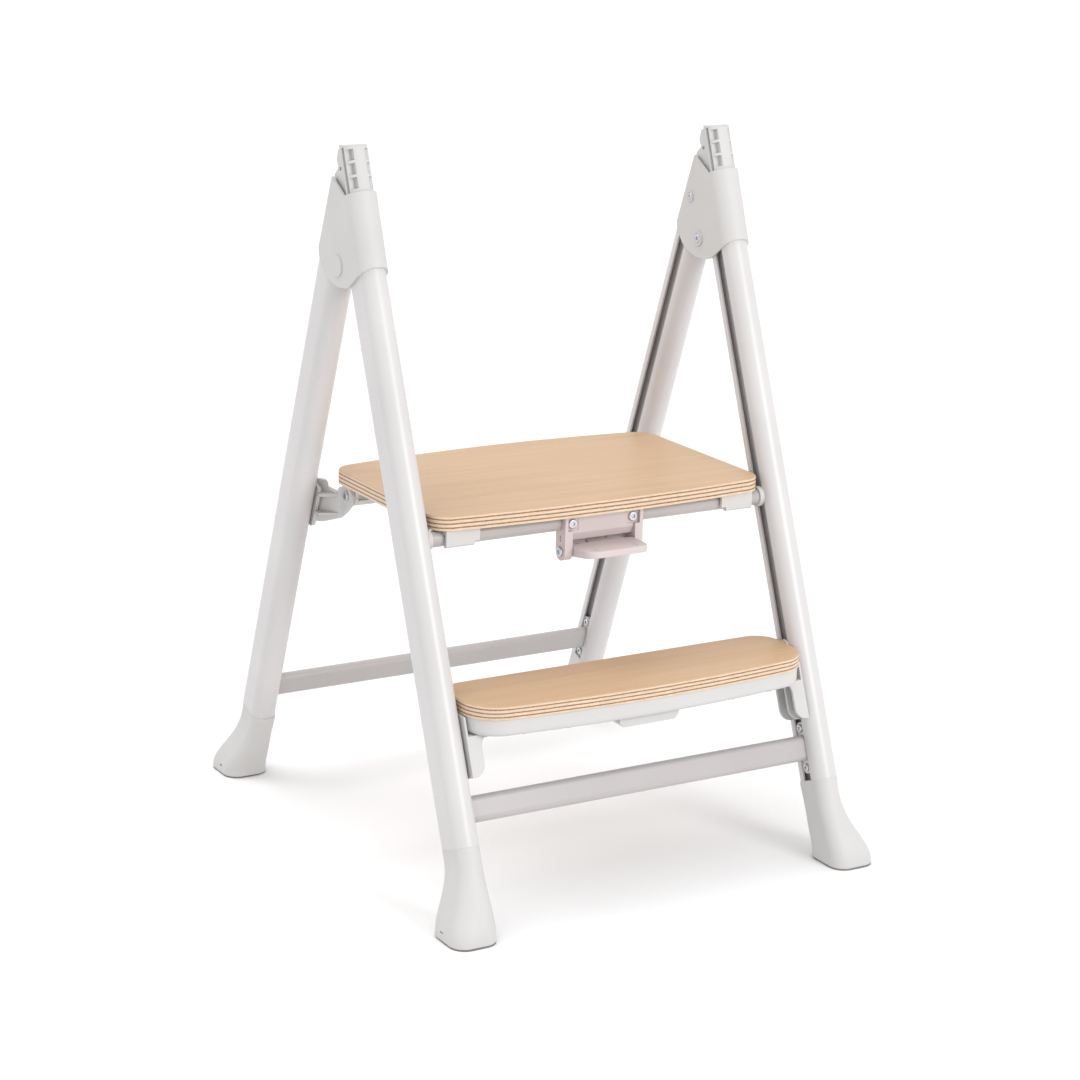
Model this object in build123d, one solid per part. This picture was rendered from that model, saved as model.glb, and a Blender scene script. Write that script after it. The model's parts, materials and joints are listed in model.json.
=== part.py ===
from build123d import *
from math import cos, radians, sin
import os

# Step stool that folds flat: two side pairs of legs crossing at a hub,
# a plywood platform, a plywood lower step and a finger latch.
# Millimetres. Origin on the floor, midway between the legs. -Y is the front.

# ---- driving dimensions -------------------------------------------------
FOOT_Y = 275.1            # leg axes meet the floor this far from the middle
FRONT_LEAN = 21.24        # front legs lean back by this many degrees
REAR_LEAN = 20.33         # rear legs lean forward by this many degrees
HUB_LEAN = 19.5           # the hubs stand a little more upright than the front legs
LEG_X = 220.15            # middle of each leg
LEG_WIDTH = 29.3
LEG_DEPTH = 46.6
LEG_ROUND = 14.0
LEG_WALL = 2.2
LEG_INNER = LEG_X - LEG_WIDTH / 2
LEG_OUTER = LEG_X + LEG_WIDTH / 2
WEB_FROM = 214.0          # web between the open channel and the closed chamber
WEB_TO = 216.0
SLOT_WIDTH = 13.5
FOOT_TOP = 90.0           # the feet end here, measured along the leg
FRONT_LEG_TOP = 740.0
REAR_LEG_TOP = 690.0

PIVOT_Y = 5.5             # main hinge, where front and rear frames fold together
PIVOT_Z = 636.0
PIVOT_R = 4.0
PLATE = 2.5               # wall of the hub
HUB_IN = LEG_INNER - PLATE
HUB_OUT = LEG_OUTER + PLATE
SLEEVE_LOW = 680.0

BOARD_HALF = 200.0        # platform board
BOARD_FRONT = -154.65
BOARD_REAR = 110.0
BOARD_LOW = 385.0
BOARD_HIGH = 400.0
TILT_Y = 91.0             # platform hinge
TILT_Z = 367.0
TILT_PIN_R = 4.0

STEP_HALF = 203.0         # lower step
STEP_FRONT = -256.0
STEP_REAR = -154.0
STEP_LOW = 212.5
STEP_HIGH = 226.5
TRAY_LOW = 193.5

RAIL_Y = -128.9           # round rail that carries the platform's front edge
RAIL_Z = 374.6
RAIL_R = 8.8

LEVER_Y = -134.6          # latch lever pivot
LEVER_Z = 344.4
LEVER_PIN_R = 2.5
CHEEK_IN = 38.0
CHEEK_OUT = 47.5

FRONT_BAR_AT = 125.5      # crossbars, measured along the legs
REAR_BAR_AT = 119.4
BAR_TALL = 27.6
BAR_THICK = 13.0

RUNNING = 0.08            # radial play of a turning fit
SNUG = 0.05               # play of a screw or plug in its own hole

NODES = {}


# ---- helpers ------------------------------------------------------------
class Leg:
    """A leaning leg: 'along' runs up its axis, 'across' points to the rear."""

    def __init__(self, side, lean):
        self.side = side
        self.foot = side * FOOT_Y
        self.lean = lean
        self.along = (0, -side * sin(radians(lean)), cos(radians(lean)))
        self.across = (0, cos(radians(lean)), side * sin(radians(lean)))

    def point(self, x, s, t=0.0):
        y = self.foot + s * self.along[1] + t * self.across[1]
        z = s * self.along[2] + t * self.across[2]
        return (x, y, z)

    def section_plane(self, s, x=LEG_X):
        return Plane(origin=self.point(x, s), x_dir=(1, 0, 0), z_dir=self.along)

    def side_plane(self, x):
        return Plane(origin=(x, self.foot, 0), x_dir=self.along, z_dir=(-1, 0, 0))


FRONT = Leg(-1, FRONT_LEAN)
REAR = Leg(1, REAR_LEAN)


def hub_plane(s):
    """Section plane of the hub sleeve and spigot, level with s on the front leg."""
    base = FRONT.point(LEG_X, SLEEVE_LOW)
    along = (0, sin(radians(HUB_LEAN)), cos(radians(HUB_LEAN)))
    rise = s - SLEEVE_LOW
    spot = (LEG_X, base[1] + rise * along[1], base[2] + rise * along[2])
    return Plane(origin=spot, x_dir=(1, 0, 0), z_dir=along)


def keep(name, shape):
    NODES[name] = shape


def keep_pair(name, right):
    """Left and right nodes from the part on the +X side."""
    keep(name + "_right", right)
    keep(name + "_left", mirror(right, about=Plane.YZ))


def both_sides(right):
    return right + mirror(right, about=Plane.YZ)


def outline_face(points, corner=0.0):
    face = Polygon(*points, align=None)
    if corner > 0:
        face = fillet(face.vertices(), corner)
    return face


def leg_prism(leg, points, x_from, x_to, corner=0.0):
    """Prism across X from an outline in the leg's own (along, across) plane."""
    plane = leg.side_plane((x_from + x_to) / 2)
    return extrude(plane * outline_face(points, corner), amount=(x_to - x_from) / 2, both=True)


def yz_prism(points, x_from, x_to, corner=0.0):
    """Prism across X from an outline of (y, z) points."""
    plane = Plane(origin=((x_from + x_to) / 2, 0, 0), x_dir=(0, 1, 0), z_dir=(1, 0, 0))
    return extrude(plane * outline_face(points, corner), amount=(x_to - x_from) / 2, both=True)


def plan_prism(face, z_from, z_to):
    return extrude(Pos(0, 0, z_from) * face, amount=z_to - z_from)


def block(x_from, x_to, y_from, y_to, z_from, z_to):
    middle = Pos((x_from + x_to) / 2, (y_from + y_to) / 2, (z_from + z_to) / 2)
    return middle * Box(x_to - x_from, y_to - y_from, z_to - z_from)


def rod_x(radius, x_from, x_to, y, z):
    return Pos((x_from + x_to) / 2, y, z) * Rot(0, 90, 0) * Cylinder(radius, x_to - x_from)


def screw(head_r, head_h, shank_r, length):
    """Pan-head screw with a hex socket; the head sits on z = 0, the shank goes down."""
    head = Pos(0, 0, head_h / 2) * Cylinder(head_r, head_h)
    head = fillet(head.edges().group_by(Axis.Z)[-1], head_h * 0.45)
    shank = Pos(0, 0, -length / 2) * Cylinder(shank_r, length)
    socket = extrude(Pos(0, 0, head_h * 0.35) * RegularPolygon(head_r * 0.48, 6), amount=head_h)
    return head + shank - socket


def facing(point, toward):
    """Location at a point whose +Z looks along 'toward'."""
    across = (1, 0, 0) if abs(toward[0]) < 0.5 else (0, 1, 0)
    return Location(Plane(origin=point, x_dir=across, z_dir=toward))


# ---- legs ---------------------------------------------------------------
def leg_outline(grow=0.0):
    return RectangleRounded(LEG_WIDTH + 2 * grow, LEG_DEPTH + 2 * grow, LEG_ROUND + grow)


def band(x_from, x_to, depth=LEG_DEPTH):
    """Rectangle between two world X values, drawn in a leg section."""
    return Pos((x_from + x_to) / 2 - LEG_X, 0) * Rectangle(x_to - x_from, depth)


def chamber_face(play=0.0):
    """Closed chamber on the outer side of the extrusion."""
    room = leg_outline(-LEG_WALL) & band(WEB_TO, LEG_OUTER)
    if play > 0:
        room = offset(room, amount=-play)
    return room


def leg_profile():
    channel = leg_outline(-LEG_WALL) & band(LEG_INNER, WEB_FROM)
    slot = band(LEG_INNER - 1, LEG_INNER + LEG_WALL + 1, SLOT_WIDTH)
    return leg_outline() - chamber_face() - channel - slot


def make_leg(leg, top):
    return extrude(leg.section_plane(FOOT_TOP) * leg_profile(), amount=top - FOOT_TOP)


# ---- feet ---------------------------------------------------------------
# height, reach in front of the leg axis, reach behind it, outer x, corner radius
FOOT_SECTIONS = [
    (2.0, 31.0, 29.0, 257.0, 17.0),
    (13.0, 34.0, 26.0, 255.5, 17.0),
    (25.0, 33.2, 25.6, 250.0, 16.0),
    (38.0, 30.0, 25.3, 243.0, 15.0),
    (53.0, 26.6, 25.0, 237.0, 14.4),
]
FOOT_WALL = 3.0
PAD_THICK = 2.0


def foot_slice(leg, height, reach_out, reach_in, outer, corner, inset=0.0):
    axis_y = leg.foot + height * leg.along[1] / leg.along[2]
    y_out = axis_y + leg.side * (reach_out - inset)
    y_in = axis_y - leg.side * (reach_in - inset)
    x_in = LEG_INNER + inset
    x_out = outer - inset
    place = Pos((x_in + x_out) / 2, (y_out + y_in) / 2, height)
    return place * RectangleRounded(x_out - x_in, abs(y_out - y_in), corner - inset)


def make_foot(leg):
    slices = [foot_slice(leg, *row) for row in FOOT_SECTIONS]
    slices.append(leg.section_plane(FOOT_TOP) * leg_outline())
    foot = loft(slices)
    hollow = loft([foot_slice(leg, *row, inset=FOOT_WALL) for row in FOOT_SECTIONS[:4]])
    plug = extrude(leg.section_plane(FOOT_TOP) * chamber_face(0.15), amount=34)
    mark_y = leg.foot + 10.0 * leg.along[1] / leg.along[2]
    mark = block(254.6, 260, mark_y - 3, mark_y + 3, 9.2, 10.8)
    return foot - hollow + plug - mark


def make_pad(leg):
    row = FOOT_SECTIONS[0][1:]
    sole = extrude(foot_slice(leg, 0.0, *row, inset=0.6), amount=PAD_THICK)
    inside = foot_slice(leg, PAD_THICK, *row, inset=FOOT_WALL + 0.6)
    return sole + extrude(inside, amount=4)


# ---- hub, spigot and main hinge ------------------------------------------
HUB_TOP = [(758, -30), (758, -9), (783, 11), (722, 68), (714, 70)]
HUB_LOBE = [(714, 70), (703, 66.5), (694, 63), (686, 56), (676, 42), (669.5, 25), (668.3, 15),
            (671, 2), (675.5, -13), (679, -23), (680, -30)]
HUB_ROOF = 752.0
HUB_POST = (742.0, 32.0)
SPIGOT_Z = 759.2
# rear edge of the spigot's inner wall, as (along, across) points in the hub's own frame
SPIGOT_WALL = [(741, -10), (809, -10), (807, 1.3), (798.5, 7.4), (790, 6.3), (785, 18), (776, 21), (741, 21)]


def main_pivot(x):
    return (x, PIVOT_Y, PIVOT_Z)


def hub_post(radius, x_from, x_to):
    spot = FRONT.point(0, *HUB_POST)
    return rod_x(radius, x_from, x_to, spot[1], spot[2])


def hub_side():
    """Side outline of the hub: straight top and back, a smooth lobe round the pivot."""
    edges = [Line(a, b) for a, b in zip(HUB_TOP, HUB_TOP[1:])]
    edges.append(Spline(*HUB_LOBE))
    edges.append(Line(HUB_LOBE[-1], HUB_TOP[0]))
    face = FRONT.side_plane(LEG_X) * make_face(Curve() + edges)
    return extrude(face, amount=(HUB_OUT - HUB_IN) / 2, both=True)


def make_hub():
    rear_part = Pos(0, 60) * Rectangle(HUB_OUT - HUB_IN, 120)
    mask = extrude(hub_plane(650) * (leg_outline(PLATE) + rear_part), amount=160)
    room = [(600, -9), (HUB_ROOF, -9), (HUB_ROOF, 120), (600, 120)]
    fork = leg_prism(FRONT, room, LEG_INNER, LEG_OUTER)
    leg_room = extrude(FRONT.section_plane(600) * leg_outline(), amount=FRONT_LEG_TOP + 3 - 600)
    spigot_room = extrude(hub_plane(FRONT_LEG_TOP + 3) * leg_outline(), amount=120)
    hub = (hub_side() & mask) - fork - leg_room - spigot_room
    hub = hub + hub_post(6.0, LEG_INNER, LEG_OUTER) - hub_post(2.5 + SNUG, 190, LEG_OUTER - 1)
    hub = hub + (hub_post(6.2, HUB_IN - 1.4, HUB_IN) - hub_post(3.8, 190, HUB_IN))
    ring = rod_x(8.4, HUB_IN - 1.6, HUB_IN, PIVOT_Y, PIVOT_Z) - rod_x(5.3, 190, HUB_IN, PIVOT_Y, PIVOT_Z)
    return hub + ring - rod_x(PIVOT_R + SNUG, 190, 250, PIVOT_Y, PIVOT_Z)


def spigot_slab(face, low, high):
    return extrude(hub_plane(low) * face, amount=high - low)


def make_spigot():
    """Upper stub of the front leg: rounded front, grooved sides and a notched inner wall."""
    low = FRONT_LEG_TOP + 3
    foot = spigot_slab(leg_outline(), low, 757)
    front = spigot_slab(leg_outline() & (Pos(0, -23) * Rectangle(40, 30)), low, 830)
    plane = Plane(origin=hub_plane(0).origin, x_dir=hub_plane(0).z_dir, z_dir=(-1, 0, 0))
    wall = extrude(plane * Polygon(*SPIGOT_WALL, align=None), amount=12, both=True)
    wall = wall & spigot_slab(leg_outline(), low, 830)
    body = foot + front + wall
    for level in (762.5, 777.0, 791.5):
        pockets = spigot_slab(Pos(0, -18.8) * Rectangle(40, 6), level, level + 11.5)
        body = body - (pockets - spigot_slab(Pos(0, -18.8) * Rectangle(13, 8), level - 1, level + 13))
    groove = spigot_slab(Pos(0, -13.0) * Rectangle(40, 3.2), 759, 806)
    body = body - (groove - spigot_slab(Pos(0, -13.0) * Rectangle(18, 5), 758, 807))
    arrow = spigot_slab(Pos(0, 2) * Rectangle(40, 4), 786, 789.5)
    arrow = arrow - spigot_slab(Pos(0, 2) * Rectangle(20, 6), 785, 791)
    bore = spigot_slab(Rectangle(9, 18), low, low + 38)
    return body - arrow - bore - block(190, 250, -100, 100, SPIGOT_Z, 850)


def make_hinge_head():
    """Moulded end of the rear leg with the lug that turns on the main pivot."""
    plug = extrude(REAR.section_plane(REAR_LEG_TOP) * chamber_face(0.15), amount=-40)
    outline = [(REAR_LEG_TOP, -31.5), (696.7, -31.5), (696.7, -8), (693.5, 14), (REAR_LEG_TOP, 18)]
    head = leg_prism(REAR, outline, 207, 233.4)
    lug = rod_x(6.8, 207, 233.4, PIVOT_Y, PIVOT_Z)
    return plug + head + lug - rod_x(PIVOT_R + RUNNING, 190, 250, PIVOT_Y, PIVOT_Z)


def make_pivot_bolt():
    return facing(main_pivot(HUB_IN), (-1, 0, 0)) * screw(5.1, 2.0, PIVOT_R, HUB_OUT - HUB_IN - 0.3)


def make_pivot_cap():
    disc = Pos(HUB_OUT + 0.8, PIVOT_Y, PIVOT_Z) * Rot(0, 90, 0) * Cylinder(11.5, 1.6)
    return fillet(disc.edges().group_by(Axis.X)[-1], 1.2)


def make_hub_screw():
    return facing(FRONT.point(HUB_IN, *HUB_POST), (-1, 0, 0)) * screw(3.6, 1.8, 2.5, 26)




# ---- crossbars and their end fittings --------------------------------------
PLATE_THICK = 2.4
BAR_SCREW_AT = 21.5


def make_crossbar(leg, at):
    half = LEG_INNER + LEG_WALL
    outline = SlotOverall(BAR_TALL, BAR_THICK) - SlotOverall(BAR_TALL - 3, BAR_THICK - 3)
    plane = Plane(origin=leg.point(0, at), x_dir=leg.along, z_dir=(-1, 0, 0))
    return extrude(plane * outline, amount=half, both=True)


def make_bar_plates(leg, at):
    """Oblong plates that sit behind the lips of the channel."""
    plane = Plane(origin=leg.point(LEG_INNER + LEG_WALL, at), x_dir=leg.along, z_dir=(-1, 0, 0))
    oblong = SlotOverall(56, 19)
    for shift in (-BAR_SCREW_AT, BAR_SCREW_AT):
        oblong = oblong - Pos(shift, 0) * Circle(2.0 + SNUG)
    return both_sides(extrude(plane * oblong, amount=-PLATE_THICK))


def make_bar_screws(leg, at):
    group = []
    for shift in (-BAR_SCREW_AT, BAR_SCREW_AT):
        spot = leg.point(LEG_INNER + LEG_WALL, at + shift)
        group.append(facing(spot, (-1, 0, 0)) * screw(4.4, 2.4, 2.0, 5.0))
    return both_sides(group[0] + group[1])


# ---- front rail -------------------------------------------------------------
def make_rail():
    return rod_x(RAIL_R, -LEG_INNER, LEG_INNER, RAIL_Y, RAIL_Z) - rod_x(
        RAIL_R - 1.6, -LEG_INNER, LEG_INNER, RAIL_Y, RAIL_Z)


def make_rail_collars():
    ring = rod_x(11.0, 200.0, LEG_INNER, RAIL_Y, RAIL_Z)
    return both_sides(ring - rod_x(RAIL_R + SNUG, 190, 210, RAIL_Y, RAIL_Z))


# ---- latch on the front rail --------------------------------------------------
HOUSING_SCREW_X = 36.7
HOUSING_TOP = 384.0


def cheek_outline():
    radius = 9.5
    low = LEVER_Z
    shape = Polygon((LEVER_Y - radius, low), (LEVER_Y + radius, low), (LEVER_Y + radius, HOUSING_TOP),
                    (LEVER_Y - radius, HOUSING_TOP), align=None)
    return shape + Pos(LEVER_Y, low) * Circle(radius)


def make_housing():
    plane = Plane(origin=((CHEEK_IN + CHEEK_OUT) / 2, 0, 0), x_dir=(0, 1, 0), z_dir=(1, 0, 0))
    cheek = extrude(plane * cheek_outline(), amount=(CHEEK_OUT - CHEEK_IN) / 2, both=True)
    bridge = [(-140.5, HOUSING_TOP), (-140.5, 364), (-137, 356), (-131, 356), (-128, HOUSING_TOP)]
    curtain = [(-131, 357), (-128.2, 357), (-125.1, 352), (-125.1, 341), (-127.4, 341), (-127.4, 350)]
    body = both_sides(cheek) + yz_prism(bridge, -CHEEK_IN, CHEEK_IN) + yz_prism(curtain, -CHEEK_IN, CHEEK_IN)
    body = body - block(-HOOK_HALF - 1.2, HOOK_HALF + 1.2, -131.5, -120, 330, 356)
    body = body - rod_x(RAIL_R, -60, 60, RAIL_Y, RAIL_Z)
    body = body - rod_x(LEVER_PIN_R + SNUG, -60, 60, LEVER_Y, LEVER_Z)
    for side in (-1, 1):
        x = side * HOUSING_SCREW_X
        body = body - block(x - 7, x + 7, -150, -140.5 + 0.6, RAIL_Z - 7, RAIL_Z + 7)
        body = body - Pos(x, -140, RAIL_Z) * Rot(90, 0, 0) * Cylinder(2.0 + SNUG, 20)
        x = side * CHEEK_OUT
        body = body - block(x - 1.2, x + 1.2, LEVER_Y - 1.5, LEVER_Y + 1.5, LEVER_Z + 11, LEVER_Z + 17)
    return body


def rail_holes(rail):
    for side in (-1, 1):
        spot = Pos(side * HOUSING_SCREW_X, RAIL_Y - RAIL_R, RAIL_Z)
        hole = spot * Rot(90, 0, 0) * Cylinder(2.0 + SNUG, 10)
        rail = rail - hole
    return rail


def make_housing_screws():
    spot = (HOUSING_SCREW_X, -139.9, RAIL_Z)
    return both_sides(facing(spot, (0, -1, 0)) * screw(5.2, 2.4, 2.0, 5.0))


def make_lever_screws():
    spot = (CHEEK_OUT, LEVER_Y, LEVER_Z)
    return both_sides(facing(spot, (1, 0, 0)) * screw(5.4, 2.2, LEVER_PIN_R, 28))


LEVER_HALF = 37.4
BARREL_HALF = 27.0
HOOK_HALF = 12.0


def make_lever():
    """Finger plate in front, barrel on the pivot, hook arm reaching behind the rail."""
    plate = Pos(0, -157.5) * Rectangle(2 * LEVER_HALF, 41)
    front_corners = plate.vertices().group_by(Axis.Y)[0]
    plate = plan_prism(fillet(front_corners, 12), 347, 352)
    plate = fillet(plate.edges().group_by(Axis.Z)[-1], 1.2)
    rim = Pos(0, -157.5) * Rectangle(2 * LEVER_HALF, 41)
    rim = fillet(rim.vertices().group_by(Axis.Y)[0], 12)
    rim = rim - Pos(0, 3) * offset(rim, amount=-3)
    lip = plan_prism(rim, 338, 348)
    slope = [(-182, 330), (-134, 330), (-134, 338.5), (-150, 341), (-182, 346)]
    lip = lip - yz_prism(slope, -50, 50)
    barrel = rod_x(6.0, -BARREL_HALF, BARREL_HALF, LEVER_Y, LEVER_Z)
    neck = yz_prism([(-139, 347), (-139, 352), (-133, 350), (-133, 345)], -BARREL_HALF, BARREL_HALF)
    arm = [(-134, 350), (-134, 342), (-104, 349), (-101, 352), (-101, 380.0), (-109, 379.0), (-109, 376.5),
           (-106, 376.5), (-106, 356)]
    hook = yz_prism(arm, -HOOK_HALF, HOOK_HALF)
    lever = plate + lip + barrel + neck + hook
    for x in (-24, 24):
        lever = lever - block(x - 4, x + 4, -168.6, -167.4, 351.6, 353)
        lever = lever - block(x - 0.6, x + 0.6, -172, -164, 351.6, 353)
    gap = block(BARREL_HALF, 60, -139.9, -120, 330, 360)
    lever = lever - gap - mirror(gap, about=Plane.YZ)
    return lever - rod_x(LEVER_PIN_R + RUNNING, -60, 60, LEVER_Y, LEVER_Z)


def make_latch_spring():
    """Torsion spring coiled round the lever pin beside the barrel."""
    path = Helix(pitch=1.7, height=8.5, radius=4.0)
    start = Plane(origin=path @ 0, z_dir=path % 0)
    coil = sweep(start * Circle(0.6), path=path)
    return Pos(BARREL_HALF + 1.0, LEVER_Y, LEVER_Z) * Rot(0, 90, 0) * coil


# ---- lower step -----------------------------------------------------------------
STEP_BOW = 14.0
STEP_FRONT_CORNER = 40.0
STEP_REAR_CORNER = 27.0


def bowed_face(half, front, rear, front_bow, rear_bow, front_corner, rear_corner):
    """Board outline: straight ends, front and rear edges bowed outward."""
    side_front = front + front_bow
    side_rear = rear - rear_bow
    edges = [ThreePointArc((-half, side_front), (0, front), (half, side_front)),
             Line((half, side_front), (half, side_rear)),
             Line((-half, side_rear), (-half, side_front))]
    if rear_bow > 0:
        edges.append(ThreePointArc((half, side_rear), (0, rear), (-half, side_rear)))
    else:
        edges.append(Line((half, side_rear), (-half, side_rear)))
    face = make_face(Curve() + edges)
    rows = face.vertices().group_by(Axis.Y)
    face = fillet(rows[0], front_corner)
    return fillet([v for v in face.vertices() if abs(v.Y - side_rear) < 0.01], rear_corner)


def step_face(inset=0.0):
    return bowed_face(STEP_HALF - inset, STEP_FRONT + inset, STEP_REAR - inset, STEP_BOW, 0,
                      STEP_FRONT_CORNER - inset, STEP_REAR_CORNER - inset)


STEP_SCREWS = [(x, y) for x in (-150, -50, 50, 150) for y in (-228.0, -178.0)]


def make_step_board():
    board = round_top_edge(plan_prism(step_face(), STEP_LOW, STEP_HIGH))
    for x, y in STEP_SCREWS:
        board = board - Pos(x, y, STEP_LOW + 4) * Cylinder(1.75 + SNUG, 9)
    return board


def make_step_tray():
    inset = 1.5
    tray = plan_prism(step_face(inset), TRAY_LOW, STEP_LOW)
    tray = fillet(tray.edges().group_by(Axis.Z)[0], 6.0)
    inside = plan_prism(step_face(inset + 5.5), TRAY_LOW - 1, STEP_LOW - 3)
    ribs = block(-201, 201, -204, -201, TRAY_LOW + 1, STEP_LOW - 2)
    for x in (-150, -100, -50, 0, 50, 100, 150):
        ribs = ribs + block(x - 1.2, x + 1.2, -252, -156, TRAY_LOW + 1, STEP_LOW - 2)
    tray = tray - inside + (ribs & plan_prism(step_face(inset + 1), TRAY_LOW, STEP_LOW))
    foot = [(-31, 182), (31, 182), (36, 187), (36, 204), (-36, 204), (-36, 187)]
    plane = Plane(origin=(0, -230, 0), x_dir=(1, 0, 0), z_dir=(0, -1, 0))
    outer = extrude(plane * Polygon(*foot, align=None), amount=13, both=True)
    tray = tray + outer - block(-28, 28, -240, -220, 180, 208)
    for x, y in STEP_SCREWS:
        boss = Pos(x, y, STEP_LOW - 4.5) * Cylinder(4.5, 9)
        tray = tray + boss - Pos(x, y, STEP_LOW - 5) * Cylinder(1.75 + SNUG, 16)
        tray = tray - Pos(x, y, STEP_LOW - 16.5) * Cylinder(4.3, 15)
    return tray


def make_step_screws():
    group = [Pos(x, y, STEP_LOW - 9) * Rot(180, 0, 0) * screw(3.8, 1.8, 1.75, 15) for x, y in STEP_SCREWS]
    return Part() + group


STEP_BOLT_AT = 236.0
BRACKET_IN = 190.0
BRACKET_LOW = 157.0
EAR_THICK = 2.2


def front_gusset():
    """Concave corner that blends the front rib into the underside of the tray."""
    radius = 12.0
    corner = block(BRACKET_IN - radius, BRACKET_IN + 2, -300, -100, TRAY_LOW - radius, TRAY_LOW)
    round_off = Pos(BRACKET_IN - radius, -200, TRAY_LOW - radius) * Rot(90, 0, 0) * Cylinder(radius, 300)
    slab = leg_prism(FRONT, [(150, -23.3), (150, -20.3), (260, -20.3), (260, -23.3)], 150, 200)
    return (corner - round_off) & slab


def bracket_front_view():
    """Outline seen along the leg's depth: straight inner edge with a large lower corner."""
    corner = 13.0
    low = BRACKET_LOW
    edges = [Line((LEG_INNER, low), (LEG_INNER, 262)),
             Line((LEG_INNER, 262), (BRACKET_IN, 262)),
             Line((BRACKET_IN, 262), (BRACKET_IN, low + corner)),
             RadiusArc((BRACKET_IN, low + corner), (BRACKET_IN + corner, low), -corner),
             Line((BRACKET_IN + corner, low), (LEG_INNER, low))]
    back = FRONT.across
    plane = Plane(origin=FRONT.point(0, 0), x_dir=(1, 0, 0), z_dir=(0, -back[1], -back[2]))
    return extrude(plane * make_face(Curve() + edges), amount=40, both=True)


def make_step_bracket():
    """End casting: ear on the leg, three ribs, a floor and a top flange, open to the middle."""
    spot = FRONT.point(0, STEP_BOLT_AT)
    ear_shape = [(BRACKET_LOW, -23.3), (232, -23.3), (STEP_BOLT_AT, -8.5), (STEP_BOLT_AT, 8.5),
                 (BRACKET_LOW, 9)]
    ear = leg_prism(FRONT, ear_shape, LEG_INNER - EAR_THICK, LEG_INNER)
    ear = ear - block(BRACKET_IN, 210, -300, -100, 212, 300)
    tongue = [(200, -8.5), (STEP_BOLT_AT, -8.5), (STEP_BOLT_AT, 8.5), (200, 8.5)]
    ear = ear + leg_prism(FRONT, tongue, LEG_INNER - EAR_THICK, LEG_INNER)
    ear = ear + rod_x(8.5, LEG_INNER - EAR_THICK, LEG_INNER, spot[1], spot[2])
    lower = Part()
    for across in (-21.8, -8.7, 7.5):
        rib = [(BRACKET_LOW, across - 1.5), (BRACKET_LOW, across + 1.5), (250, across + 1.5),
               (250, across - 1.5)]
        lower = lower + leg_prism(FRONT, rib, BRACKET_IN, LEG_INNER)
    flange = block(BRACKET_IN - 8, LEG_INNER, -240, -160, TRAY_LOW - 3, TRAY_LOW)
    span = leg_prism(FRONT, [(150, -23.3), (260, -23.3), (260, 9), (150, 9)], BRACKET_IN - 8, LEG_INNER)
    lower = (lower & bracket_front_view()) + (flange & span)
    floor = [(BRACKET_LOW, -23.3), (BRACKET_LOW, 9), (BRACKET_LOW + 2.5, 9), (BRACKET_LOW + 2.5, -23.3)]
    lower = lower + leg_prism(FRONT, floor, BRACKET_IN + 13, LEG_INNER)
    lower = lower - block(150, 210, -300, -100, TRAY_LOW, 300) + front_gusset()
    return ear + lower - rod_x(3.0 + SNUG, 190, 210, spot[1], spot[2])


def make_step_bolts():
    spot = FRONT.point(LEG_INNER, STEP_BOLT_AT)
    return both_sides(facing(spot, (1, 0, 0)) * screw(6.5, 3.0, 3.0, EAR_THICK))


# ---- platform -----------------------------------------------------------------
BOARD_FRONT_BOW = 11.0
BOARD_REAR_BOW = 16.0
BOARD_CORNER = 25.0
SADDLE_IN = 153.5
SADDLE_OUT = 186.5
KNUCKLE_IN = 152.0
KNUCKLE_OUT = 179.5
SADDLE_SCREWS = [(x, -106.0) for x in (161.0, 179.0)]
KNUCKLE_SCREWS = [(166.0, 58.0), (166.0, 74.0)]
CATCH_SCREWS = [(8.0, -101.0)]


def platform_screw_spots():
    right = SADDLE_SCREWS + KNUCKLE_SCREWS + CATCH_SCREWS
    return right + [(-x, y) for x, y in right]


def make_platform_board():
    face = bowed_face(BOARD_HALF, BOARD_FRONT, BOARD_REAR, BOARD_FRONT_BOW, BOARD_REAR_BOW,
                      BOARD_CORNER, BOARD_CORNER)
    board = round_top_edge(plan_prism(face, BOARD_LOW, BOARD_HIGH))
    for x, y in platform_screw_spots():
        board = board - Pos(x, y, BOARD_LOW + 4.5) * Cylinder(1.75 + SNUG, 9)
    return board


def make_platform_screws():
    group = [Pos(x, y, BOARD_LOW - 2.5) * Rot(180, 0, 0) * screw(3.8, 1.8, 1.75, 11)
             for x, y in platform_screw_spots()]
    return Part() + group


def flange(x_from, x_to, y_from, y_to, spots):
    plate = block(x_from, x_to, y_from, y_to, BOARD_LOW - 2.5, BOARD_LOW)
    for x, y in spots:
        plate = plate - Pos(x, y, BOARD_LOW) * Cylinder(1.75 + SNUG, 8)
    return plate


def make_saddle():
    """Hook-shaped rest under the board's front; the rail drops out of it when folding."""
    outline = [(-142.5, BOARD_LOW), (-142.5, 368), (-141, 366.5), (-136.6, 366.5), (-138.2, 371),
               (-138.9, RAIL_Z), (-138.9, 380), (-118.5, 380), (-117, 376), (-113.5, 376), (-111, BOARD_LOW)]
    body = yz_prism(outline, SADDLE_IN, SADDLE_OUT)
    rib = [(-142.5, BOARD_LOW), (-142.5, 371), (-138.6, 371), (-138.6, BOARD_LOW)]
    body = body + yz_prism(rib, SADDLE_IN - 6, SADDLE_IN)
    body = body + flange(SADDLE_IN, SADDLE_OUT, -113, -98, SADDLE_SCREWS)
    return body - rod_x(RAIL_R + 0.5, 140, 200, RAIL_Y, RAIL_Z)


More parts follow.
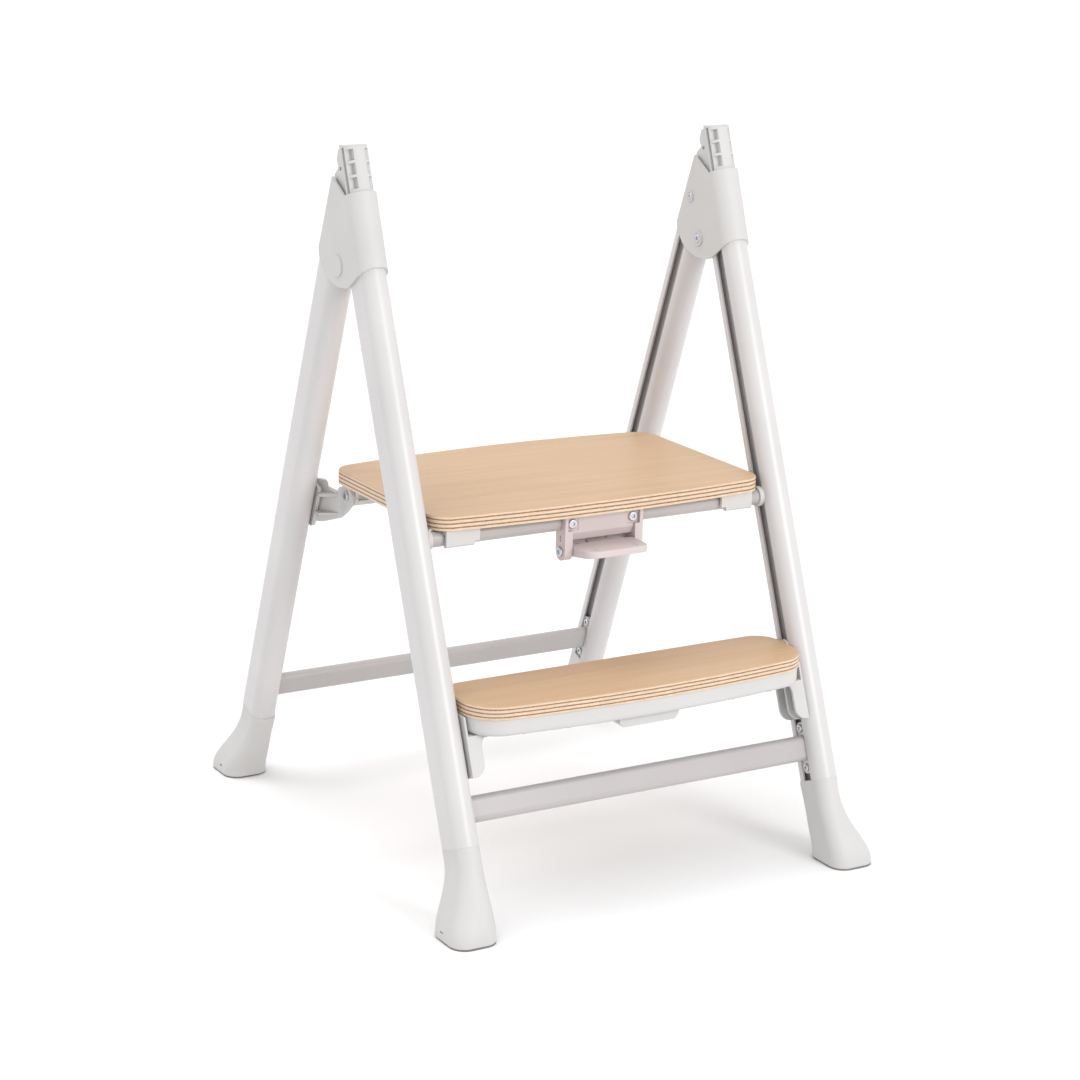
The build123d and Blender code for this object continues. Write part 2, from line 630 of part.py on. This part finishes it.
def make_knuckle():
    """Half hinge under the board's rear that turns on the bracket's pin."""
    boss = rod_x(12.0, KNUCKLE_IN, KNUCKLE_OUT, TILT_Y, TILT_Z)
    neck = yz_prism([(79.2, TILT_Z), (72, BOARD_LOW - 1), (102.5, BOARD_LOW - 1), (102.8, TILT_Z)],
                    KNUCKLE_IN, KNUCKLE_OUT)
    neck = neck - yz_prism([(40, 340), (140, 340), (140, TILT_Z), (40, TILT_Z)], 140, 190)
    cap = block(KNUCKLE_IN, KNUCKLE_OUT, 70, 96, BOARD_LOW - 3, BOARD_LOW)
    body = boss + neck + cap + flange(KNUCKLE_IN, KNUCKLE_OUT, 48, 84, KNUCKLE_SCREWS)
    pocket = block(KNUCKLE_IN + 4, KNUCKLE_OUT - 4, 60, 82, TILT_Z - 4, TILT_Z + 8)
    for x, y in KNUCKLE_SCREWS:
        body = body - Pos(x, y, BOARD_LOW - 6) * Cylinder(4.6, 7)
        body = body - Pos(x, y, BOARD_LOW) * Cylinder(1.75 + SNUG, 8)
    body = body - pocket
    return body - rod_x(TILT_PIN_R + RUNNING, 140, 200, TILT_Y, TILT_Z)


def round_top_edge(board):
    return fillet(board.edges().group_by(Axis.Z)[-1], 1.5)


def make_catch():
    """Strike that the lever's hook closes over."""
    shape = [(-116, BOARD_LOW), (-116, 370), (-108, 370), (-108, 373), (-113, 373), (-113, BOARD_LOW - 2.5),
             (-94, BOARD_LOW - 2.5), (-94, BOARD_LOW)]
    body = yz_prism(shape, -14, 14)
    for x, y in CATCH_SCREWS:
        for side in (-1, 1):
            body = body - Pos(side * x, y, BOARD_LOW) * Cylinder(1.75 + SNUG, 8)
    return body


# ---- rear platform brackets ---------------------------------------------------
BRACKET_SCREWS_AT = (360, 395)     # along the leg
BRACKET_SCREW_ACROSS = -3.0
BRACKET_BASE = 4.0                 # thickness of the base plate
DRIVER_ROOM = 5.4                  # radius left round each screw head


SWING_ANGLES = (67, 62, 57, 52, 47)   # degrees of tilt at which the wall is cleared
SWING_GAP = 1.5                       # left round the board's rear corner
SWING_REACH = 7.0                     # the corner's reach behind the hinge


def swing_room():
    """Space that the board's rear corner sweeps as it tilts."""
    corner = block(178, 193, TILT_Y - 60, TILT_Y + SWING_REACH + SWING_GAP,
                   BOARD_LOW - SWING_GAP, BOARD_HIGH + 20)
    hinge = Axis((0, TILT_Y, TILT_Z), (-1, 0, 0))
    room = corner.rotate(hinge, SWING_ANGLES[0])
    for angle in SWING_ANGLES[1:]:
        room = room + corner.rotate(hinge, angle)
    return room


def make_rear_bracket():
    """Bracket on the rear leg: curved wall out to the pin, base on the leg, web between."""
    face = LEG_INNER - BRACKET_BASE
    base = leg_prism(REAR, [(352, -20), (403, -20), (403, 15), (352, 15)], face, LEG_INNER, corner=5)
    plan = [(184, 76), (184, 104), (LEG_INNER, 136), (LEG_INNER, 158), (face, 158),
            (face, 138), (180, 108), (180, 76)]
    wall = plan_prism(Polygon(*plan, align=None), 320, 390)
    side = [(79.6, 363), (84, 356), (96, 346), (110, 337), (124, 331.5), (150, 330), (150, 380),
            (121, 378.5), (113, 372.5), (106, 373), (97, 377)]
    outline = yz_prism(side, 170, 210) + rod_x(12.0, 170, 210, TILT_Y, TILT_Z)
    web_low = plan_prism(Polygon((184, 106), (LEG_INNER, 116), (LEG_INNER, 138), align=None), 362, 365.5)
    rib = plan_prism(Polygon((184, 106), (LEG_INNER, 116), (LEG_INNER, 138), align=None), 341, 344)
    body = base + ((wall & outline) - swing_room()) + web_low + rib
    for at in BRACKET_SCREWS_AT:
        spot = REAR.point(0, at, BRACKET_SCREW_ACROSS)
        body = body - rod_x(2.5 + SNUG, 190, 215, spot[1], spot[2])
        body = body - rod_x(DRIVER_ROOM, 170, face, spot[1], spot[2])
    return body - rod_x(TILT_PIN_R + SNUG, 170, 210, TILT_Y, TILT_Z)


def make_bracket_screws():
    group = []
    for at in BRACKET_SCREWS_AT:
        spot = REAR.point(LEG_INNER - BRACKET_BASE, at, BRACKET_SCREW_ACROSS)
        group.append(facing(spot, (-1, 0, 0)) * screw(4.6, 2.4, 2.5, 11))
    return both_sides(group[0] + group[1])


def make_tilt_pins():
    return both_sides(facing((184, TILT_Y, TILT_Z), (1, 0, 0)) * screw(5.25, 2.6, TILT_PIN_R, 31))


# ---- all nodes --------------------------------------------------------------
def build_frames():
    for name, leg, top, at in (("front", FRONT, FRONT_LEG_TOP, FRONT_BAR_AT),
                               ("rear", REAR, REAR_LEG_TOP, REAR_BAR_AT)):
        keep_pair(name + "_leg", make_leg(leg, top))
        keep_pair(name + "_foot", make_foot(leg))
        keep(name + "_foot_pads", both_sides(make_pad(leg)))
        keep(name + "_crossbar", make_crossbar(leg, at))
        keep(name + "_bar_plates", make_bar_plates(leg, at))
        keep(name + "_bar_screws", make_bar_screws(leg, at))


def build_hubs():
    keep_pair("hub", make_hub())
    keep_pair("spigot", make_spigot())
    keep_pair("hinge_head", make_hinge_head())
    keep("pivot_bolts", both_sides(make_pivot_bolt()))
    keep("pivot_caps", both_sides(make_pivot_cap()))
    keep("hub_screws", both_sides(make_hub_screw()))


def build_latch():
    keep("front_rail", rail_holes(make_rail()))
    keep("rail_collars", make_rail_collars())
    keep("latch_housing", make_housing())
    keep("housing_screws", make_housing_screws())
    keep("lever_pivot_screws", make_lever_screws())
    keep("latch_lever", make_lever())
    keep("latch_spring", make_latch_spring())


def build_step():
    keep("step_board", make_step_board())
    keep("step_tray", make_step_tray())
    keep("step_screws", make_step_screws())
    keep_pair("step_bracket", make_step_bracket())
    keep("step_bolts", make_step_bolts())


def build_platform():
    keep("platform_board", make_platform_board())
    keep_pair("saddle", make_saddle())
    keep_pair("hinge_knuckle", make_knuckle())
    keep("catch_plate", make_catch())
    keep("platform_screws", make_platform_screws())
    keep_pair("platform_bracket", make_rear_bracket())
    keep("bracket_screws", make_bracket_screws())
    keep("platform_hinge_pins", make_tilt_pins())


build_frames()
build_hubs()
build_latch()
build_step()
build_platform()

os.makedirs("parts", exist_ok=True)
for node, shape in NODES.items():
    export_step(shape, "parts/" + node + ".step")
    print(node, shape.is_valid, len(shape.solids()), round(shape.volume))
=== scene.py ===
import json
import math

import bpy
from mathutils import Matrix, Vector


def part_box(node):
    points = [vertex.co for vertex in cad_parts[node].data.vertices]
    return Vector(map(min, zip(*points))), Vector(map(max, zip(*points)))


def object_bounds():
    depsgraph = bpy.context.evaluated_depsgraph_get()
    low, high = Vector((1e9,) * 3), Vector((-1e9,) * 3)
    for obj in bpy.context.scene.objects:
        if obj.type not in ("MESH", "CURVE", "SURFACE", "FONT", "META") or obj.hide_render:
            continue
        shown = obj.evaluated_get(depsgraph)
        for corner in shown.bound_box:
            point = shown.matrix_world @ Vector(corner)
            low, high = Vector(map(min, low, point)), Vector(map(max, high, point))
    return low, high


# Looks of the folding step stool. Metres, in the CAD frame: +Z up, -Y to the front.

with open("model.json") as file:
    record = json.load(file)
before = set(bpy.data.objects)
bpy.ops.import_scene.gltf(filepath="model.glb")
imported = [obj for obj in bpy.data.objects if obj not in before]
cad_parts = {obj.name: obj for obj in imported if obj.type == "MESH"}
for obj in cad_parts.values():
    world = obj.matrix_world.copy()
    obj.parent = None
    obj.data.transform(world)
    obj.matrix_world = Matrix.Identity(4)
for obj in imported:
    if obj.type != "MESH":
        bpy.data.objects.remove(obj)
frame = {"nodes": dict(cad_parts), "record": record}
cad_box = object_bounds()
NODES = frame["nodes"]
SLOT_OF = {row["node"]: row["material_slot"] for row in frame["record"]["subparts"]}

PLIES = 7                      # layers in each plywood board
EDGE_RADIUS = 0.0006           # softening of sharp moulded edges, in shading only
DARK_PLY_SHARE = 0.36          # how much of each pair of plies is the dark one

PAINT = (0.575, 0.557, 0.557)
BAR_PAINT = (0.427, 0.403, 0.400)
WARM_MOULDING = (0.577, 0.502, 0.493)
MOULDING = (0.548, 0.539, 0.530)
SOLE = (0.170, 0.160, 0.155)
ZINC = (0.60, 0.62, 0.66)
VENEER_LIGHT = (0.584, 0.396, 0.242)
VENEER_MID = (0.534, 0.348, 0.200)
VENEER_DARK = (0.410, 0.244, 0.126)
PLY_LIGHT = (0.660, 0.530, 0.385)
PLY_DARK = (0.250, 0.120, 0.060)

BAND_STRETCH = (1.0, 14.0, 1.0)          # veneer figure, long along X
FIBRE_STRETCH = (7.0, 260.0, 7.0)
PORE_STRETCH = (34.0, 520.0, 34.0)
LONG_GRAIN_STRETCH = (40.0, 40.0, 420.0) # on the ply edges
TURNING_STRETCH = (1.0, 14.0, 14.0)      # marks on the plated screws
FACE_LIMIT = 0.55                        # a steeper surface than this is an edge

FLOOR_SIZE = 24.0
FLOOR_WHITE = (0.87, 0.87, 0.875)
FLOOR_ROUGHNESS = 0.85
SKY_STRENGTH = 1.0
KEY_PLACE = (0.9, -3.3, 1.7)
KEY_TARGET = (0, 0, 0.4)
KEY_SIZE = 1.2
KEY_POWER = 46.0
OVERHEAD_FROM = (-0.4, 0.4, 1.6)
OVERHEAD_STRENGTH = 0.95
OVERHEAD_SPREAD = 38                     # degrees

CAMERA_PLACE = (-1.4893, -2.5578, 1.1390)
CAMERA_YAW = -30.32                      # degrees
CAMERA_PITCH = 15.51
CAMERA_ROLL = 1.21
LENS_MM = 93.69
SENSOR_MM = 36.0
VIEW_DEPTH = 60.0


# ---- material helpers --------------------------------------------------------
class Graph:
    """A short way to write node trees: every call adds a node and returns its output."""

    def __init__(self, name):
        self.material = bpy.data.materials.new(name)
        self.material.use_nodes = True
        self.tree = self.material.node_tree
        self.shader = self.tree.nodes["Principled BSDF"]

    def add(self, kind, **settings):
        node = self.tree.nodes.new(kind)
        for key, value in settings.items():
            setattr(node, key, value)
        return node

    def feed(self, socket, value):
        if isinstance(value, bpy.types.NodeSocket):
            self.tree.links.new(value, socket)
        else:
            socket.default_value = value

    def coords(self, kind="Object"):
        return self.add("ShaderNodeTexCoord").outputs[kind]

    def stretched(self, scale):
        node = self.add("ShaderNodeMapping")
        self.feed(node.inputs["Vector"], self.coords())
        node.inputs["Scale"].default_value = scale
        return node.outputs["Vector"]

    def noise(self, vector, scale, detail=3.0, roughness=0.5, distortion=0.0):
        node = self.add("ShaderNodeTexNoise")
        self.feed(node.inputs["Vector"], vector)
        node.inputs["Scale"].default_value = scale
        node.inputs["Detail"].default_value = detail
        node.inputs["Roughness"].default_value = roughness
        node.inputs["Distortion"].default_value = distortion
        return node.outputs["Fac"]

    def math(self, operation, a, b=0.0):
        node = self.add("ShaderNodeMath", operation=operation)
        self.feed(node.inputs[0], a)
        self.feed(node.inputs[1], b)
        return node.outputs[0]

    def ramp(self, value, *stops):
        node = self.add("ShaderNodeValToRGB")
        self.feed(node.inputs["Fac"], value)
        ramp = node.color_ramp
        while len(ramp.elements) < len(stops):
            ramp.elements.new(0.5)
        for element, (place, color) in zip(ramp.elements, stops):
            element.position = place
            element.color = (*color, 1.0)
        return node.outputs["Color"]

    def mix(self, amount, a, b, blend="MIX"):
        node = self.add("ShaderNodeMix", data_type="RGBA", blend_type=blend)
        self.feed(node.inputs["Factor"], amount)
        for index, value in ((6, a), (7, b)):
            if isinstance(value, tuple):
                value = (*value, 1.0)
            self.feed(node.inputs[index], value)
        return node.outputs[2]

    def scale(self, value, low, high):
        node = self.add("ShaderNodeMapRange")
        self.feed(node.inputs["Value"], value)
        node.inputs["To Min"].default_value = low
        node.inputs["To Max"].default_value = high
        return node.outputs["Result"]

    def bump(self, height, distance, strength=1.0):
        """Fine relief on top of softly rounded edges."""
        bevel = self.add("ShaderNodeBevel", samples=4)
        bevel.inputs["Radius"].default_value = EDGE_RADIUS
        node = self.add("ShaderNodeBump")
        node.inputs["Strength"].default_value = strength
        node.inputs["Distance"].default_value = distance
        self.feed(node.inputs["Height"], height)
        self.feed(node.inputs["Normal"], bevel.outputs["Normal"])
        self.feed(self.shader.inputs["Normal"], node.outputs["Normal"])

    def finish(self, color, roughness, metallic=0.0, specular=0.5):
        self.feed(self.shader.inputs["Base Color"], color)
        self.feed(self.shader.inputs["Roughness"], roughness)
        self.shader.inputs["Metallic"].default_value = metallic
        self.shader.inputs["Specular IOR Level"].default_value = specular
        return self.material


def shade(color, factor):
    return tuple(channel * factor for channel in color)


# ---- materials --------------------------------------------------------------
def paint_material(name, paint):
    """Satin powder coat: fine orange peel and faint cloudiness."""
    g = Graph(name)
    cloud = g.noise(g.coords(), 9.0, 2.0)
    peel = g.noise(g.coords(), 900.0, 2.0)
    grit = g.noise(g.coords(), 2600.0, 1.0)
    color = g.ramp(cloud, (0.3, shade(paint, 0.97)), (0.7, shade(paint, 1.03)))
    g.bump(g.math("ADD", peel, g.math("MULTIPLY", grit, 0.4)), 0.00005, 0.5)
    return g.finish(color, g.scale(peel, 0.28, 0.38))


def moulding_material(name, plastic):
    """Injection-moulded plastic with a fine spark-eroded texture."""
    g = Graph(name)
    cloud = g.noise(g.coords(), 14.0, 2.0)
    grain = g.noise(g.coords(), 1700.0, 3.0, 0.6)
    color = g.ramp(cloud, (0.3, shade(plastic, 0.975)), (0.7, shade(plastic, 1.02)))
    g.bump(grain, 0.00006, 0.55)
    return g.finish(color, g.scale(grain, 0.46, 0.60), specular=0.45)


def sole_material():
    g = Graph("sole_rubber")
    grain = g.noise(g.coords(), 1100.0, 3.0)
    wear = g.noise(g.coords(), 40.0, 4.0)
    color = g.ramp(wear, (0.35, shade(SOLE, 0.85)), (0.75, shade(SOLE, 1.5)))
    g.bump(grain, 0.00012, 0.6)
    return g.finish(color, g.scale(wear, 0.7, 0.9), specular=0.3)


def zinc_material():
    """Blue-white zinc plate with faint turning marks."""
    g = Graph("zinc_plate")
    streak = g.noise(g.stretched(TURNING_STRETCH), 260.0, 3.0)
    blotch = g.noise(g.coords(), 220.0, 2.0)
    color = g.ramp(blotch, (0.3, shade(ZINC, 0.86)), (0.7, shade(ZINC, 1.08)))
    g.bump(streak, 0.00003, 0.5)
    return g.finish(color, g.scale(streak, 0.24, 0.40), metallic=1.0)


def plywood_material(node):
    """Veneered faces with grain along X, and stacked plies on the edge."""
    low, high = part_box(node)
    thick = high.z - low.z
    g = Graph("plywood_" + node)
    # veneer
    band = g.noise(g.stretched(BAND_STRETCH), 5.0, 5.0, 0.55, 0.6)
    fibre = g.noise(g.stretched(FIBRE_STRETCH), 3.0, 6.0, 0.65)
    fleck = g.noise(g.stretched(PORE_STRETCH), 2.6, 2.0)
    veneer = g.ramp(band, (0.30, VENEER_MID), (0.62, VENEER_LIGHT))
    veneer = g.mix(g.math("MULTIPLY", g.scale(fibre, 0.0, 1.0), 0.30), veneer, VENEER_DARK)
    pores = g.ramp(fleck, (0.60, (0.0, 0.0, 0.0)), (0.74, (1.0, 1.0, 1.0)))
    veneer = g.mix(g.math("MULTIPLY", pores, 0.22), veneer, shade(VENEER_DARK, 0.75))
    # plies
    split = g.add("ShaderNodeSeparateXYZ")
    g.feed(split.inputs[0], g.coords())
    waver = g.math("MULTIPLY", g.noise(g.coords(), 26.0, 3.0), 0.0007)
    height = g.math("ADD", g.math("SUBTRACT", split.outputs["Z"], low.z + 0.00035), waver)
    layer = g.math("DIVIDE", height, thick / PLIES)
    from_dark = g.math("ABSOLUTE", g.math("SUBTRACT", g.math("MODULO", layer, 2.0), 1.5))
    odd = g.math("LESS_THAN", from_dark, DARK_PLY_SHARE)
    end_grain = g.noise(g.coords(), 620.0, 4.0, 0.7)
    long_grain = g.noise(g.stretched(LONG_GRAIN_STRETCH), 3.0, 4.0)
    light = g.ramp(long_grain, (0.30, shade(PLY_LIGHT, 0.82)), (0.70, shade(PLY_LIGHT, 1.10)))
    dark = g.ramp(end_grain, (0.35, shade(PLY_DARK, 0.55)), (0.66, shade(PLY_DARK, 1.9)))
    edge = g.mix(odd, light, dark)
    # faces or edge, by the surface's own direction
    normal = g.add("ShaderNodeSeparateXYZ")
    g.feed(normal.inputs[0], g.coords("Normal"))
    upright = g.math("ABSOLUTE", normal.outputs["Z"])
    face = g.math("GREATER_THAN", upright, FACE_LIMIT)
    color = g.mix(face, edge, veneer)
    relief = g.math("ADD", fibre, g.math("MULTIPLY", g.math("SUBTRACT", 1.0, face), end_grain))
    g.bump(relief, 0.00010, 0.45)
    g.shader.inputs["Coat Weight"].default_value = 0.12
    g.shader.inputs["Coat Roughness"].default_value = 0.32
    return g.finish(color, g.scale(fibre, 0.40, 0.56), specular=0.4)


def dress(node, material):
    data = NODES[node].data
    data.materials.clear()
    data.materials.append(material)
    for polygon in data.polygons:
        polygon.material_index = 0


MATERIALS = {
    "frame_paint": paint_material("powder_coat", PAINT),
    "moulding": moulding_material("moulded_plastic", MOULDING),
    "sole": sole_material(),
    "zinc": zinc_material(),
}

SPECIAL = {node: paint_material("powder_coat_" + node, BAR_PAINT)
           for node in ("front_crossbar", "rear_crossbar", "front_rail")}
for node in ("latch_lever", "latch_housing"):
    SPECIAL[node] = moulding_material("moulded_plastic_" + node, WARM_MOULDING)

for name, slot in SLOT_OF.items():
    if name in SPECIAL:
        dress(name, SPECIAL[name])
    elif slot == "plywood":
        dress(name, plywood_material(name))
    else:
        dress(name, MATERIALS[slot])


# ---- studio -----------------------------------------------------------------
def plain_material(name, color, roughness):
    g = Graph(name)
    return g.finish((*color, 1.0), roughness, specular=0.2)


def make_floor():
    bpy.ops.mesh.primitive_plane_add(size=FLOOR_SIZE, location=(0, 0, cad_box[0][2]))
    floor = bpy.context.object
    floor.name = "floor"
    floor.data.materials.append(plain_material("floor_white", FLOOR_WHITE, FLOOR_ROUGHNESS))


def make_key():
    """One softbox in front, a little to the right."""
    data = bpy.data.lights.new("key", "AREA")
    data.shape = "SQUARE"
    data.size = KEY_SIZE
    data.energy = KEY_POWER
    lamp = bpy.data.objects.new("key", data)
    lamp.location = KEY_PLACE
    aim = Vector(KEY_TARGET) - Vector(KEY_PLACE)
    lamp.rotation_euler = aim.to_track_quat("-Z", "Y").to_euler()
    bpy.context.scene.collection.objects.link(lamp)


def make_overhead():
    """A wide overhead softbox, as even on the far floor as under the stool."""
    data = bpy.data.lights.new("overhead", "SUN")
    data.energy = OVERHEAD_STRENGTH
    data.angle = math.radians(OVERHEAD_SPREAD)
    lamp = bpy.data.objects.new("overhead", data)
    lamp.rotation_euler = (-Vector(OVERHEAD_FROM)).to_track_quat("-Z", "Y").to_euler()
    bpy.context.scene.collection.objects.link(lamp)


def make_world():
    world = bpy.data.worlds.new("studio")
    bpy.context.scene.world = world
    world.use_nodes = True
    sky = world.node_tree.nodes["Background"]
    sky.inputs["Color"].default_value = (1.0, 1.0, 1.0, 1.0)
    sky.inputs["Strength"].default_value = SKY_STRENGTH


def make_camera():
    yaw = math.radians(CAMERA_YAW)
    pitch = math.radians(CAMERA_PITCH)
    roll = math.radians(CAMERA_ROLL)
    back = Vector((math.sin(yaw) * math.cos(pitch), -math.cos(yaw) * math.cos(pitch), math.sin(pitch)))
    level = Vector((math.cos(yaw), math.sin(yaw), 0.0))
    above = back.cross(level)
    right = level * math.cos(roll) + above * math.sin(roll)
    up = above * math.cos(roll) - level * math.sin(roll)
    data = bpy.data.cameras.new("camera")
    data.lens = LENS_MM
    data.sensor_width = SENSOR_MM
    data.clip_end = VIEW_DEPTH
    camera = bpy.data.objects.new("camera", data)
    turn = Matrix((right, up, back)).transposed().to_4x4()
    camera.matrix_world = Matrix.Translation(CAMERA_PLACE) @ turn
    bpy.context.scene.collection.objects.link(camera)
    bpy.context.scene.camera = camera


make_floor()
make_world()
make_key()
make_overhead()
make_camera()
bpy.context.scene.view_settings.view_transform = "Standard"
